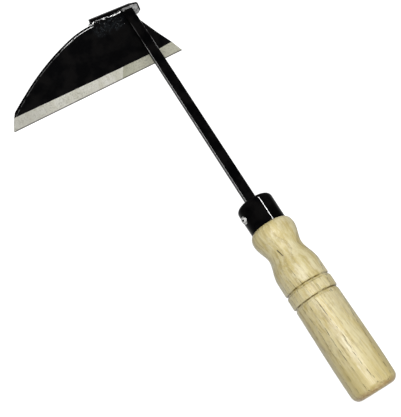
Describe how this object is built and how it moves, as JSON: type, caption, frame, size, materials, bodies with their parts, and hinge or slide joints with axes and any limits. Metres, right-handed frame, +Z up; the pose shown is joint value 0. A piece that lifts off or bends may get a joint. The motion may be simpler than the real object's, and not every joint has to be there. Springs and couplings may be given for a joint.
{
  "type": "hand sickle",
  "caption": "Short-handled weeding sickle: half-moon blade welded across the end of a straight steel neck, with a ferrule and a turned wooden grip.",
  "frame": {"origin": "centre of the bounding box, on the floor, with the cutting edge and the lower rim of the butt both touching Z = 0", "axes": "+Y from the butt towards the blade along the floor, +X along the cutting edge towards the blade's short side, +Z up"},
  "size_m": [0.1394, 0.321, 0.0399],
  "materials": {
    "handle": "turned pale wood under clear gloss varnish",
    "ferrule": "gloss black lacquer on steel",
    "ferrule_nail": "bare domed nail",
    "neck": "satin-gloss black over a forged steel bar",
    "back_plate": "satin black steel plate, bare at its short-side corner",
    "neck_weld": "bare smoothed weld metal",
    "blade": "satin black steel plate with a bare ground bevel",
    "weld_bead": "bare rippled weld metal"
  },
  "bodies": {
    "root": {"handle": "handle", "ferrule": "ferrule", "ferrule_nail": "ferrule_nail", "neck": "neck", "blade": "blade", "back_plate": "back_plate", "weld_bead": "weld_bead", "neck_weld": "neck_weld"}
  },
  "joints": []
}
